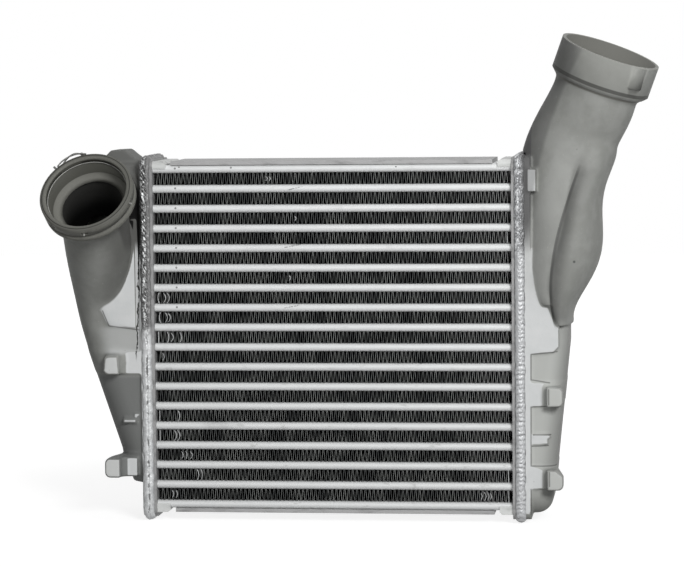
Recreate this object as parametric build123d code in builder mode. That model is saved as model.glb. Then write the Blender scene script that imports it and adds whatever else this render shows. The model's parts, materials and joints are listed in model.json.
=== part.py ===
"""Tube-and-fin charge air cooler: brazed core, two header plates and two cast end tanks.

Frame: millimetres, +X along the tubes, +Z up, -Y is the front face.
The origin is the centre of the lower side plate's underside.
"""
import os
from math import cos, radians, sin

from build123d import *

# --- core -------------------------------------------------------------------------------
core_length = 280.0      # between the two header plates
tube_count = 18
tube_height = 6.2
tube_depth = 64.0
tube_wall = 0.8
tube_webs = 3            # partitions inside each extruded tube
fin_height = 9.3
fin_waves = 18
fin_stock = 0.45         # strip thickness, measured upright
fin_inset = 2.0          # fins stop this far behind the tube noses
fin_end_gap = 2.5        # fins stop this far short of the header plates
plate_thickness = 3.0    # top and bottom side plates
plate_end_gap = 14.5     # side plates stop this far short of the header plates

# --- header plates and weld beads -------------------------------------------------------
header_thickness = 3.0
header_margin = 3.0      # header reaches this far in front of and behind the tubes
header_below = 4.0       # this far below the lower side plate
header_above = 1.5       # and this far above the upper one
header_corner = 7.0
slot_clearance = 0.1
tube_stub = 1.5          # tube end standing proud inside the tank
bead_width = 9.0
bead_height = 3.2
bead_overlap = 1.4       # part of the bead that lies on the header's edge
bead_round = 2.4

# --- corner blocks ----------------------------------------------------------------------
block_length = 10.5
block_proud = 1.2        # lip thickness in front of and behind the tube noses
block_chamfer = 2.0
top_lip, bottom_lip = 2.6, 3.6

# --- cast tanks, common; a reach is measured outwards from the header plate --------------
wall = 4.0
rim_wall = 2.4           # tank wall where it butts against the header plate
rib_step = 1.5           # bands and pads stand this far in front of the tank's panels
rib_side = 0.4           # and bands this far out of its outer side
pad_root = 7.0           # how deep a pad is rooted in the tank's rounded edge
lug_inner, lug_outer = 24.0, 36.5
lug_proud = 8.5          # lug faces stand this far in front of the bands
lug_flank = 2.0          # and their outer side starts to slant back at this depth
lug_heel = 2.0
lug_root = 12.0
lug_height = 15.6
lug_round = 4.0
lug_fillet = 5.5
lug_slope_run, lug_slope_drop = 8.0, 6.0

# --- right tank; a drop is measured down from the header plate's top edge ----------------
right_tray = 11.5        # depth of the flange strip along the core
right_foot = 0.0
right_foot_reach = 26.5
right_shoulder_reach = 40.5
right_shoulder = 133.0
right_ceiling_drop = 100.0   # the chamber's top, hidden behind the duct
right_foot_round = 13.0
right_edge_round = 15.0
right_bands = ((23.0, 38.0), (85.0, 103.5))
right_lugs = (28.5, 93.0)
collar_reach, collar_front, collar_rise = 73.0, 9.0, 80.5
collar_tilt, collar_lean = 20.0, 8.5
collar_radius, collar_bore = 39.0, 36.0
collar_length, collar_depth, collar_taper = 25.0, 22.0, 4.5
collar_ramp_width, collar_ramp_length, collar_ramp_proud = 12.0, 17.0, 1.6
collar_ramp_turn = 43.0  # from the front towards the outer side
neck_radius = 33.4
neck_bore = 27.0
panel_rib_length, panel_rib_height, panel_rib_gap = 13.7, 3.6, 1.0
panel_rib_reach, panel_rib_level = 19.5, 59.3
tab_reach, tab_drop = 9.3, 26.2
tab_width, tab_height, tab_proud = 6.9, 17.6, 1.2

# --- left tank --------------------------------------------------------------------------
left_tray = 8.0
left_foot = 23.0
left_foot_reach = 19.5
left_knee_reach, left_knee = 53.5, 125.0
left_reach = 65.0
left_hip_drop = 88.2
left_crown = 40.0        # radius of the tank's upper outer corner
left_edge_round = 22.0
boss_half_depth = 16.0
left_bands = ((28.8, 47.0), (109.5, 127.0))
left_lugs = (36.0, 117.5)
pin_level, pin_reach, pin_length, pin_radius = 72.3, 12.0, 11.0, 2.4
socket_reach, socket_front, socket_drop = 38.8, 86.0, 22.2
socket_lean = 51.0       # the socket's axis leans forwards from the vertical
socket_tilt = -9.0       # and away from the core
socket_radius, socket_mouth, socket_bore = 36.5, 31.6, 30.5
socket_length, socket_depth, socket_taper = 14.0, 20.5, 6.0
socket_edge = 0.8        # chamfer of the rim
throat_radius = 29.0
step_height = 4.0        # height of the conical step down to the port
port_radius = 23.0
rim_height = 7.2         # the rim, before the groove round the socket's outside
outer_groove_width, outer_groove_depth = 2.4, 1.5
clip_wire = 1.8
clip_seat = 4.8          # distance of the clip behind the socket's rim
clip_groove = 34.0
clip_clearance = 0.2
clip_start, clip_arc = 129.0, 327.0
clip_grip = 5.5          # how far the clip's ends stand out of the rim
window_margin = 7.0      # degrees of open rim beside each end of the clip
small_windows = ((216.0, 10.0), (262.0, 9.0), (334.0, 6.0))   # start and sweep, degrees

# --- worked-out values ------------------------------------------------------------------
tube_pitch = tube_height + fin_height
stack_height = tube_count * tube_height + (tube_count - 1) * fin_height
core_top = plate_thickness + stack_height
plate_top = core_top + plate_thickness
header_half_depth = tube_depth / 2 + header_margin
header_face = core_length / 2
tank_face = header_face + header_thickness
header_low, header_high = -header_below, plate_top + header_above
header_span = header_high - header_low
header_mid = (header_high + header_low) / 2
ceiling = header_high - wall / 2
panel_half_depth = header_half_depth - rib_step
right_ceiling = header_high - right_ceiling_drop
left_hip = header_high - left_hip_drop
clear = 4 * (core_length + left_reach)   # a cutting box's side, larger than any tank


def tube_level(index):
    """Height of a tube's centre line; tube 0 is the lowest."""
    return plate_thickness + tube_height / 2 + index * tube_pitch


# --- core pieces ------------------------------------------------------------------------
def flat_tube(length, level):
    with BuildPart() as tube:
        with BuildSketch(Plane.YZ.offset(-length / 2)):
            with Locations((0, level)):
                SlotOverall(tube_depth, tube_height)
                inner_depth = tube_depth - 2 * tube_wall
                SlotOverall(inner_depth, tube_height - 2 * tube_wall, mode=Mode.SUBTRACT)
                web_pitch = (tube_depth - tube_height) / (tube_webs - 1)
                with GridLocations(web_pitch, 1, tube_webs, 1):
                    Rectangle(tube_wall, tube_height - tube_wall)
        extrude(amount=length)
    return tube


def fin_row(level):
    """One corrugated strip; its crests touch the tubes above and below."""
    span = core_length - 2 * fin_end_gap
    half_wave = span / (2 * fin_waves)
    rise = fin_height - fin_stock
    count = 2 * fin_waves + 1
    lower = [(-span / 2 + i * half_wave, level + rise * (i % 2)) for i in range(count)]
    upper = [(x, z + fin_stock) for x, z in reversed(lower)]
    with BuildPart() as fins:
        with BuildSketch(Plane.XZ):
            with BuildLine():
                Polyline(*lower, *upper, close=True)
            make_face()
        extrude(amount=tube_depth / 2 - fin_inset, both=True)
    return fins


def side_plate(level):
    with BuildPart() as plate:
        with Locations((0, 0, level + plate_thickness / 2)):
            Box(core_length - 2 * plate_end_gap, tube_depth, plate_thickness)
    return plate


def header_outline(grow=0.0):
    """The header's rounded outline, drawn in the sketch that is open."""
    with Locations((0, header_mid)):
        outline = RectangleRounded(
            2 * (header_half_depth + grow), header_span + 2 * grow, header_corner + grow
        )
    return outline


def header_plate(side):
    with BuildPart() as header:
        with BuildSketch(Plane.YZ.offset(side * header_face)):
            header_outline()
            slots = [(0, tube_level(index)) for index in range(tube_count)]
            with Locations(*slots):
                SlotOverall(
                    tube_depth + slot_clearance,
                    tube_height + slot_clearance,
                    mode=Mode.SUBTRACT,
                )
        extrude(amount=side * header_thickness)
    return header


def weld_bead(side):
    """Rounded bead round the whole seam between header plate and tank."""
    start = side * (tank_face - bead_overlap)
    with BuildPart() as bead:
        with BuildSketch(Plane.YZ.offset(start)):
            header_outline(bead_height)
        extrude(amount=side * bead_width)
        rims = bead.edges().group_by(Axis.X)
        fillet(rims[0] + rims[-1], bead_round)
        with BuildSketch(Plane.YZ.offset(start)):
            header_outline()
        extrude(amount=side * bead_width, mode=Mode.SUBTRACT)
    return bead


def corner_block(side, top):
    """Saddle over the outermost tube's end, between side plate and header plate."""
    lip = top_lip if top else bottom_lip
    out = 1 if top else -1
    base = core_top if top else plate_thickness
    crest = base + out * plate_thickness
    inner = header_face - block_length
    with BuildPart() as block:
        with BuildSketch(Plane.XZ):
            with BuildLine():
                Polyline(
                    (side * header_face, base - out * lip),
                    (side * header_face, crest),
                    (side * (inner + block_chamfer), crest),
                    (side * inner, crest - out * block_chamfer),
                    (side * inner, base - out * lip),
                    close=True,
                )
            make_face()
        extrude(amount=tube_depth / 2 + block_proud, both=True)
        outermost = tube_level(tube_count - 1) if top else tube_level(0)
        with BuildSketch(Plane.YZ.offset(side * inner)):
            with Locations((0, outermost)):
                SlotOverall(tube_depth, tube_height)
        extrude(amount=side * block_length, mode=Mode.SUBTRACT)
    return block


# --- cast tanks -------------------------------------------------------------------------
def out(side, reach):
    """X of a point that lies a reach outwards from the header plate."""
    return side * (tank_face + reach)


def right_outline():
    """Front view of the right tank's chamber."""
    with BuildSketch() as view:
        with BuildLine():
            Polyline(
                (out(1, 0), right_ceiling),
                (out(1, 0), right_foot),
                (out(1, right_foot_reach), right_foot),
                (out(1, right_shoulder_reach), right_shoulder),
                (out(1, right_shoulder_reach), right_ceiling),
                close=True,
            )
        make_face()
        foot = view.vertices().group_by(Axis.Y)[0].sort_by(Axis.X)[-1]
        fillet(foot, right_foot_round)
    return view.sketch


def left_outline():
    """Front view of the left tank's chamber."""
    crown_reach = left_reach - left_crown
    with BuildSketch() as view:
        with BuildLine():
            top = Line((out(-1, crown_reach), ceiling), (out(-1, 0), ceiling))
            inner = Line(top @ 1, (out(-1, 0), left_foot))
            foot = Line(inner @ 1, (out(-1, left_foot_reach), left_foot))
            flank = Line(foot @ 1, (out(-1, left_knee_reach), left_knee))
            hip = TangentArc(flank @ 1, (out(-1, left_reach), left_hip), tangent=flank % 1)
            back = Line(hip @ 1, (out(-1, left_reach), ceiling - left_crown))
            RadiusArc(back @ 1, top @ 0, left_crown)
        make_face()
    return view.sketch


def chamber(outline, edge_round, deeper=0.0, wider=0.0):
    """A tank's closed chamber with rounded outer edges, grown by two amounts."""
    with BuildPart() as body:
        with BuildSketch(Plane.XZ):
            add(outline)
            if wider:
                offset(amount=wider, kind=Kind.INTERSECTION)
        extrude(amount=panel_half_depth + deeper, both=True)
        rims = body.faces().filter_by(Axis.Y).edges().filter_by(Axis.X, reverse=True)
        outer = rims.filter_by(lambda edge: abs(edge.center().X) > tank_face + wall + 1)
        fillet(outer, edge_round + deeper)
    return body


def band(outline, edge_round, low, high):
    """Raised band that runs round the chamber between two heights."""
    swollen = chamber(outline, edge_round, rib_step, rib_side)
    with BuildPart() as ring:
        add(swollen.part)
        with Locations((0, 0, (low + high) / 2)):
            Box(clear, clear, high - low, mode=Mode.INTERSECT)
        Box(2 * tank_face + rib_step, clear, clear, mode=Mode.SUBTRACT)
    return ring


def lug(side, level, sloped=False):
    """Bracket seat: a block proud of the band, slanting back on its outer side."""
    face = -header_half_depth - lug_proud
    flank_depth = -header_half_depth - lug_flank
    top = level + lug_height / 2
    root_x = out(side, lug_inner - lug_root)
    with BuildPart() as block:
        with BuildSketch(Plane.XY.offset(level - lug_height / 2)):
            with BuildLine():
                front = Line((out(side, lug_inner), face), (out(side, lug_outer), face))
                flank = Line(front @ 1, (out(side, lug_outer), flank_depth))
                slant = Line(flank @ 1, (out(side, lug_inner + lug_heel), 0))
                back = Line(slant @ 1, (root_x, 0))
                root = Line(back @ 1, (root_x, -header_half_depth))
                web = Line(root @ 1, (out(side, lug_inner - lug_fillet), -header_half_depth))
                sweep_end = (out(side, lug_inner), -header_half_depth - lug_fillet)
                TangentArc(web @ 1, sweep_end, tangent=(side, 0))
                Line(sweep_end, front @ 0)
            make_face()
        extrude(amount=lug_height)
        outer = block.edges().filter_by(Axis.Y).group_by(Axis.X)[-1 if side > 0 else 0]
        fillet(outer, lug_round)
        if sloped:
            with BuildSketch(Plane.XZ):
                with BuildLine():
                    Polyline(
                        (out(side, lug_outer - lug_slope_run), top + lug_heel),
                        (out(side, lug_outer + lug_heel), top + lug_heel),
                        (out(side, lug_outer + lug_heel), top - lug_slope_drop),
                        close=True,
                    )
                make_face()
            extrude(amount=header_half_depth + 2 * lug_proud, mode=Mode.SUBTRACT)
    return block


def tray(side, depth, shrink=0.0):
    """The tank's rounded open rim, which butts against the header plate."""
    with BuildPart() as rim:
        with BuildSketch(Plane.YZ.offset(side * tank_face)):
            header_outline(-shrink)
        extrude(amount=side * (depth - shrink))
    return rim


def pad(side, corners, proud=0.0):
    """Flat pad on the tank's front; a corner is its reach and its drop."""
    outline = [(out(side, reach), header_high - drop) for reach, drop in corners]
    with BuildPart() as plateau:
        with BuildSketch(Plane.XZ.offset(header_half_depth - pad_root)):
            with BuildLine():
                Polyline(*outline, close=True)
            make_face()
        extrude(amount=pad_root + proud)
    return plateau


def section(centre, tilt=0.0, lean=0.0):
    """Plane across a duct; its normal leans to +X by `tilt` and to -Y by `lean` degrees."""
    across = (cos(radians(tilt)), 0, -sin(radians(tilt)))
    normal = (
        sin(radians(tilt)) * cos(radians(lean)),
        -sin(radians(lean)),
        cos(radians(tilt)) * cos(radians(lean)),
    )
    return Plane(origin=centre, x_dir=across, z_dir=normal)


def duct_through(sections, shrink=0.0):
    """Duct lofted through ellipses, each a plane, a half width and a half depth.

    A shrunk duct is a hidden cavity, so it runs straight between its sections.
    """
    with BuildPart() as duct:
        for plane, half_width, half_depth in sections:
            with BuildSketch(plane):
                Ellipse(half_width - shrink, half_depth - shrink)
        loft(ruled=shrink > 0)
    return duct


def ring_about(plane, profile):
    """Solid of revolution about the plane's normal; profile is (radius, height) pairs."""
    across, axis = plane.x_dir, plane.z_dir
    with BuildPart() as ring:
        with BuildSketch(Plane(origin=plane.origin, x_dir=across, z_dir=across.cross(axis))):
            with BuildLine():
                Polyline(*profile, close=True)
            make_face()
        revolve(axis=Axis(plane.origin, axis))
    return ring


# --- right tank -------------------------------------------------------------------------
def collar_plane():
    centre = (out(1, collar_reach), -collar_front, header_high + collar_rise)
    return section(centre, collar_tilt, collar_lean)


def right_duct():
    """From inside the collar straight down into the tank, swelling towards its foot."""
    depth = header_half_depth
    return (
        (section((out(1, 62), -5.5, header_high + 57), 19, 8.5), neck_radius, neck_radius),
        (section((out(1, 49.5), -2, header_high + 25), 16, 5), 34.2, 33.5),
        (section((out(1, 38), 0, header_high - 2), 5), 34.8, depth),
        (section((out(1, 33), 0, header_high - 42)), 31.5, depth + 5.5),
        (section((out(1, 29), 0, header_high - 82)), 29.5, depth + 6),
        (section((out(1, 28.5), 0, header_high - 114)), 17, depth + 5.5),
    )


def outer_lobe():
    """Second swelling, in front of and outside the duct, that ends on the shoulder."""
    depth = header_half_depth
    return (
        (section((out(1, 57), -1, header_high + 14)), 15.5, depth - 4),
        (section((out(1, 52), -1, header_high - 15)), 19.5, depth + 3.5),
        (section((out(1, 45.5), -1, header_high - 49)), 20.5, depth + 8.5),
        (section((out(1, 38.5), -1, header_high - 84)), 24, depth + 9.5),
        (section((out(1, 36), -1, header_high - 94)), 22, depth + 9),
        (section((out(1, 33), -1, header_high - 112)), 14.5, depth + 6.5),
        (section((out(1, 34.5), -1, header_high - 130)), 9, depth + 1),
    )


def collar_ramp():
    """Locking ramp on the collar's outer front, highest at its lower end."""
    base = collar_plane()
    outward = spoke(base, collar_ramp_turn - 90)
    crest = collar_radius + collar_ramp_proud
    side_plane = Plane(origin=base.origin, x_dir=outward, z_dir=outward.cross(base.z_dir))
    with BuildPart() as ramp:
        with BuildSketch(side_plane):
            with BuildLine():
                Polyline(
                    (collar_bore + 1, -1),
                    (collar_radius, -1),
                    (crest, -collar_ramp_length),
                    (collar_bore + 1, -collar_ramp_length),
                    close=True,
                )
            make_face()
        extrude(amount=collar_ramp_width / 2, both=True)
    return ramp


def panel_ribs():
    """Two short ribs, one above the other, on the panel between the bands."""
    upper = panel_rib_level + (panel_rib_height + panel_rib_gap) / 2
    lower = panel_rib_level - (panel_rib_height + panel_rib_gap) / 2
    with BuildPart() as ribs:
        with BuildSketch(Plane.XZ.offset(header_half_depth - pad_root)):
            with Locations(
                (out(1, panel_rib_reach), upper), (out(1, panel_rib_reach - rib_step), lower)
            ):
                SlotOverall(panel_rib_length, panel_rib_height)
        extrude(amount=pad_root)
    return ribs


def right_tank():
    outline = right_outline()
    skirt = -collar_length - collar_taper
    bore_end = skirt - 2 * wall
    shoulder_pad = (
        (11, 151.7), (29, 150.2), (33, 146.2), (33, 117.2), (25, 102.2), (11, 87.2)
    )
    tab_left, tab_right = tab_reach, tab_reach + tab_width
    tab_top, tab_bottom = tab_drop - tab_height, tab_drop
    tab = (
        (tab_left, tab_top), (tab_right, tab_top), (tab_right, tab_bottom), (tab_left, tab_bottom)
    )
    collar_profile = (
        (0, 0),
        (collar_radius, 0),
        (collar_radius, -collar_length),
        (collar_radius - collar_taper, skirt),
        (0, skirt),
    )
    bore_profile = (
        (0, 1),
        (collar_bore, 1),
        (collar_bore, -collar_depth),
        (neck_bore, -collar_depth - 2),
        (neck_bore, bore_end),
        (0, bore_end),
    )
    with BuildPart() as tank:
        add(tray(1, right_tray).part)
        add(chamber(outline, right_edge_round).part)
        for low, high in right_bands:
            add(band(outline, right_edge_round, low, high).part)
        for level in right_lugs:
            add(lug(1, level, level == min(right_lugs)).part)
        add(pad(1, shoulder_pad).part)
        add(pad(1, tab, tab_proud).part)
        add(panel_ribs().part)
        add(duct_through(right_duct()).part)
        add(duct_through(outer_lobe()).part)
        add(ring_about(collar_plane(), collar_profile).part)
        add(collar_ramp().part)
        Box(2 * tank_face, clear, clear, mode=Mode.SUBTRACT)
        add(tray(1, right_tray, rim_wall).part, mode=Mode.SUBTRACT)
        add(chamber(outline, right_edge_round, -wall, -wall).part, mode=Mode.SUBTRACT)
        add(duct_through(right_duct(), wall).part, mode=Mode.SUBTRACT)
        add(duct_through(outer_lobe(), wall).part, mode=Mode.SUBTRACT)
        add(ring_about(collar_plane(), bore_profile).part, mode=Mode.SUBTRACT)
        add(weld_bead(1).part, mode=Mode.SUBTRACT)
    return tank


# --- left tank --------------------------------------------------------------------------
def socket_plane():
    centre = (out(-1, socket_reach), -socket_front, header_high - socket_drop)
    return section(centre, socket_tilt, socket_lean)


def left_duct():
    """From the socket's throat back and down into the tank's flank."""
    throat = socket_plane().offset(-socket_length - socket_taper)
    return (
        (throat, throat_radius, throat_radius),
        (section((out(-1, 37.5), -60.5, header_high - 42), -4, 48), 27, 27),
        (section((out(-1, 39), -45, header_high - 60), 0, 37), 26, 26),
        (section((out(-1, 41), -27, header_high - 86), 0, 25), 24, 24),
        (section((out(-1, 42.5), -13, header_high - 116), 0, 14), 20, 20),
        (section((out(-1, 38), -8, header_high - 147), 0, 6), 17, 17),
    )


def pin_boss():
    """Short half-round rib lying across the panel, with a smaller one above it."""
    nub_radius = pin_radius / 2
    rows = ((pin_reach + pin_length / 2, 0, pin_radius, pin_length),)
    rows += ((pin_reach, pin_radius + 2 * nub_radius, nub_radius, pin_length / 3),)
    with BuildPart() as boss:
        for reach, rise, radius, length in rows:
            with Locations((out(-1, reach), -panel_half_depth, pin_level + rise)):
                Cylinder(radius, length, rotation=(0, 90, 0))
    return boss


def spoke(plane, turn):
    """Unit vector in the plane, `turn` degrees round from its X direction."""
    return plane.x_dir * cos(radians(turn)) + plane.y_dir * sin(radians(turn))


def rim_window(start, sweep):
    """Opening through the socket's rim at the clip's level, between two angles."""
    seat = socket_plane().offset(-clip_seat)
    half_height = clip_wire / 2 + clip_clearance
    across = spoke(seat, start)
    with BuildPart() as window:
        with BuildSketch(Plane(origin=seat.origin, x_dir=across, z_dir=seat.z_dir.cross(across))):
            with Locations(((socket_mouth + socket_radius) / 2 + 2, 0)):
                Rectangle(socket_radius - socket_mouth + 2, 2 * half_height)
        revolve(axis=Axis(seat.origin, seat.z_dir), revolution_arc=sweep)
    return window


def left_tank():
    outline = left_outline()
    skirt = -socket_length - socket_taper
    throat_pad = (
        (11.5, 131.7),
        (31, 130.2),
        (35, 126.2),
        (38.5, 117.2),
        (29, 87.2),
        (15, 47.2),
        (11.5, 47.2),
    )
    boss_corners = ((38, 15), (38, -2), (33, -7), (22, -7.5), (11.5, 1), (11.5, 15))
    boss_outline = [(out(-1, reach), header_high - drop) for reach, drop in boss_corners]
    groove_low = -rim_height - outer_groove_width
    groove_radius = socket_radius - outer_groove_depth
    socket_profile = (
        (0, 0),
        (socket_radius - socket_edge, 0),
        (socket_radius, -socket_edge),
        (socket_radius, -rim_height),
        (groove_radius, -rim_height),
        (groove_radius, groove_low),
        (socket_radius, groove_low),
        (socket_radius, -socket_length),
        (throat_radius, skirt),
        (0, skirt),
    )
    clip_high = -clip_seat + clip_wire / 2 + clip_clearance
    clip_low = -clip_seat - clip_wire / 2 - clip_clearance
    bore_profile = (
        (0, 1),
        (socket_mouth + 2, 1),
        (socket_mouth, -1),
        (socket_mouth, clip_high),
        (clip_groove, clip_high),
        (clip_groove, clip_low),
        (socket_bore, clip_low),
        (socket_bore, step_height - socket_depth),
        (port_radius, -socket_depth),
        (port_radius, skirt - 2),
        (0, skirt - 2),
    )
    with BuildPart() as tank:
        add(tray(-1, left_tray).part)
        add(chamber(outline, left_edge_round).part)
        for low, high in left_bands:
            add(band(outline, left_edge_round, low, high).part)
        for level in left_lugs:
            add(lug(-1, level).part)
        add(pad(-1, throat_pad).part)
        add(pin_boss().part)
        with BuildSketch(Plane.XZ):
            with BuildLine():
                Polyline(*boss_outline, close=True)
            make_face()
        extrude(amount=boss_half_depth, both=True)
        add(duct_through(left_duct()).part)
        add(ring_about(socket_plane(), socket_profile).part)
        add(tray(-1, left_tray, rim_wall).part, mode=Mode.SUBTRACT)
        add(chamber(outline, left_edge_round, -wall, -wall).part, mode=Mode.SUBTRACT)
        add(duct_through(left_duct(), wall).part, mode=Mode.SUBTRACT)
        add(ring_about(socket_plane(), bore_profile).part, mode=Mode.SUBTRACT)
        clip_gap = 360 - clip_arc
        grips = rim_window(clip_start - clip_gap - window_margin, clip_gap + 2 * window_margin)
        add(grips.part, mode=Mode.SUBTRACT)
        for start, sweep in small_windows:
            add(rim_window(start, sweep).part, mode=Mode.SUBTRACT)
    return tank


def retaining_clip():
    """Open wire ring in the socket's groove; both ends leave through the rim as grips."""
    seat = socket_plane().offset(-clip_seat)
    wire_radius = clip_wire / 2
    ring_radius = clip_groove - wire_radius - clip_clearance
    grip_length = socket_radius + clip_grip - ring_radius
    first = spoke(seat, clip_start)
    with BuildPart() as clip:
        with BuildSketch(Plane(origin=seat.origin, x_dir=first, z_dir=seat.z_dir.cross(first))):
            with Locations((ring_radius, 0)):
                Circle(wire_radius)
        revolve(axis=Axis(seat.origin, seat.z_dir), revolution_arc=clip_arc)
        for turn in (clip_start, clip_start + clip_arc):
            outward = spoke(seat, turn)
            corner = seat.origin + outward * ring_radius
            with Locations(corner):
                Sphere(wire_radius)
            with BuildSketch(Plane(origin=corner, z_dir=outward)):
                Circle(wire_radius)
            extrude(amount=grip_length)
    return clip


# --- build ------------------------------------------------------------------------------
os.makedirs("parts", exist_ok=True)

tube_length = core_length + 2 * (header_thickness + tube_stub)
for index in range(tube_count):
    tube = flat_tube(tube_length, tube_level(index))
    tube.part.label = f"tube_{index + 1:02d}"
    export_step(tube.part, f"parts/{tube.part.label}.step")

for index in range(tube_count - 1):
    fins = fin_row(tube_level(index) + tube_height / 2)
    fins.part.label = f"fin_row_{index + 1:02d}"
    export_step(fins.part, f"parts/{fins.part.label}.step")

for name, level in (("bottom_side_plate", 0), ("top_side_plate", core_top)):
    plate = side_plate(level)
    plate.part.label = name
    export_step(plate.part, f"parts/{name}.step")

for word, side in (("left", -1), ("right", 1)):
    header = header_plate(side)
    header.part.label = f"{word}_header_plate"
    export_step(header.part, f"parts/{word}_header_plate.step")

    bead = weld_bead(side)
    bead.part.label = f"{word}_weld_bead"
    export_step(bead.part, f"parts/{word}_weld_bead.step")

    for place, top in (("top", True), ("bottom", False)):
        block = corner_block(side, top)
        block.part.label = f"{place}_{word}_corner_block"
        export_step(block.part, f"parts/{place}_{word}_corner_block.step")

left = left_tank()
left.part.label = "left_tank"
export_step(left.part, "parts/left_tank.step")

right = right_tank()
right.part.label = "right_tank"
export_step(right.part, "parts/right_tank.step")

clip = retaining_clip()
clip.part.label = "retaining_clip"
export_step(clip.part, "parts/retaining_clip.step")
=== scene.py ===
"""Looks of the tube-and-fin charge air cooler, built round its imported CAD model.

Everything is in the part's frame, in metres: +X along the tubes, +Z up, -Y the front.
"""
import json
import math
import random

import bmesh
import bpy
import numpy as np
from mathutils import Matrix, Vector, noise


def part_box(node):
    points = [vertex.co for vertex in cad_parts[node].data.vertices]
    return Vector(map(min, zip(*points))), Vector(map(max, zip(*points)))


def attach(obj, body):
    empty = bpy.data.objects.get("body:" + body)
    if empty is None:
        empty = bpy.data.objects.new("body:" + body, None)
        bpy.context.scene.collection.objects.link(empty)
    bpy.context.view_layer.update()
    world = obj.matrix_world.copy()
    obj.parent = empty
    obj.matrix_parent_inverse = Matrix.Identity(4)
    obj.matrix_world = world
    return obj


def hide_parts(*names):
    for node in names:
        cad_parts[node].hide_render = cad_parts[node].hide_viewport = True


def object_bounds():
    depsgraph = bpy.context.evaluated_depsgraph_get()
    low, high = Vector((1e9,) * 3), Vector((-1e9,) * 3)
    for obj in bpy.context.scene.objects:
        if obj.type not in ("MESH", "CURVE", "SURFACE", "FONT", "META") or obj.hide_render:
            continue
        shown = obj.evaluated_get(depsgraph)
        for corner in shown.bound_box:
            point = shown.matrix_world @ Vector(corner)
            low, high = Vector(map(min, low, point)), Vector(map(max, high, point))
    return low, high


MM = 0.001
TUBE_ROWS = 18
FIN_WAVES = 84                      # full waves of one fin strip
FIN_SHEET = 0.24 * MM
FIN_CREST = 0.22                    # half of a crest's flat, as a share of half a wave
FRONT_OF_BARS = -31.9 * MM          # just inside the tubes' noses
LEFT_ROPE = (0.135, 0.150)          # heights between which each bead turns from clean to ropey
RIGHT_ROPE = (0.198, 0.212)
COIN_PITCH = 3.6 * MM               # of the puddles stacked in the right bead
BEAD_GRAIN = 1.6 * MM
HEADER_CORNER = 7 * MM
SOCKET_TILT, SOCKET_LEAN = -9, 51   # degrees to +X and to -Y
COLLAR_TILT, COLLAR_LEAN = 20, 8.5
CAST_TRIANGLES = 185000             # at most, in one softened casting
CAST_SHARP = 38                     # degrees over which a casting's edge stays sharp
RING_OVERLAP = 1.2 * MM             # how far a crisp ring reaches into the softened body
LOOP_WIRE, STUB_WIRE, EDGE_WIRE = 0.6 * MM, 0.7 * MM, 0.35 * MM
WIRE_SIDES = 8
SEEN_RAYS = ("Is Camera Ray", "Is Glossy Ray", "Is Transmission Ray")
PHOTO_WIDTH = 684                   # pixels
PHOTO_FOCUS = 2822.04               # focal length in the photo's pixels
CAMERA_PLACE = (0.27469, -2.2, 0.35095)
CAMERA_TURN = (7.009, 4.471, -0.616)  # yaw, pitch and roll in degrees
LAMPS = (                           # name, place, height aimed at, size, watts
    ("key", (1.05, -1.9, 1.1), 0.17, (0.7, 0.6), 39),
    ("front", (0.3, -2.4, 0.5), 0.18, (1.0, 0.8), 8),
    ("top", (0, -0.1, 1.6), 0.2, (1.4, 0.8), 3.5),
)

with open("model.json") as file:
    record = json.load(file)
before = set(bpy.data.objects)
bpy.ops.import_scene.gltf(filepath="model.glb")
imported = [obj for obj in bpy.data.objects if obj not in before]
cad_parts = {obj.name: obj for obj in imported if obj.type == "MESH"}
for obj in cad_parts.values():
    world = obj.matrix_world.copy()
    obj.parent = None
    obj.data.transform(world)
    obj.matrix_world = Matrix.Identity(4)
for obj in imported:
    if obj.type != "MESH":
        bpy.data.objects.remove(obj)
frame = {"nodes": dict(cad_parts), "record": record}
nodes = frame["nodes"]
cad_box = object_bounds()
cast_voxel = 0.0010
bead_step = 0.00045


def leaning(tilt, lean):
    """Unit vector that leans to +X by tilt and to -Y by lean degrees."""
    tilt, lean = math.radians(tilt), math.radians(lean)
    flat = math.cos(lean)
    return Vector((math.sin(tilt) * flat, -math.sin(lean), math.cos(tilt) * flat))


SOCKET = (Vector((-181.8, -86, 255)) * MM, leaning(SOCKET_TILT, SOCKET_LEAN))
COLLAR = (Vector((216, -9, 357.7)) * MM, leaning(COLLAR_TILT, COLLAR_LEAN))


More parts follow.
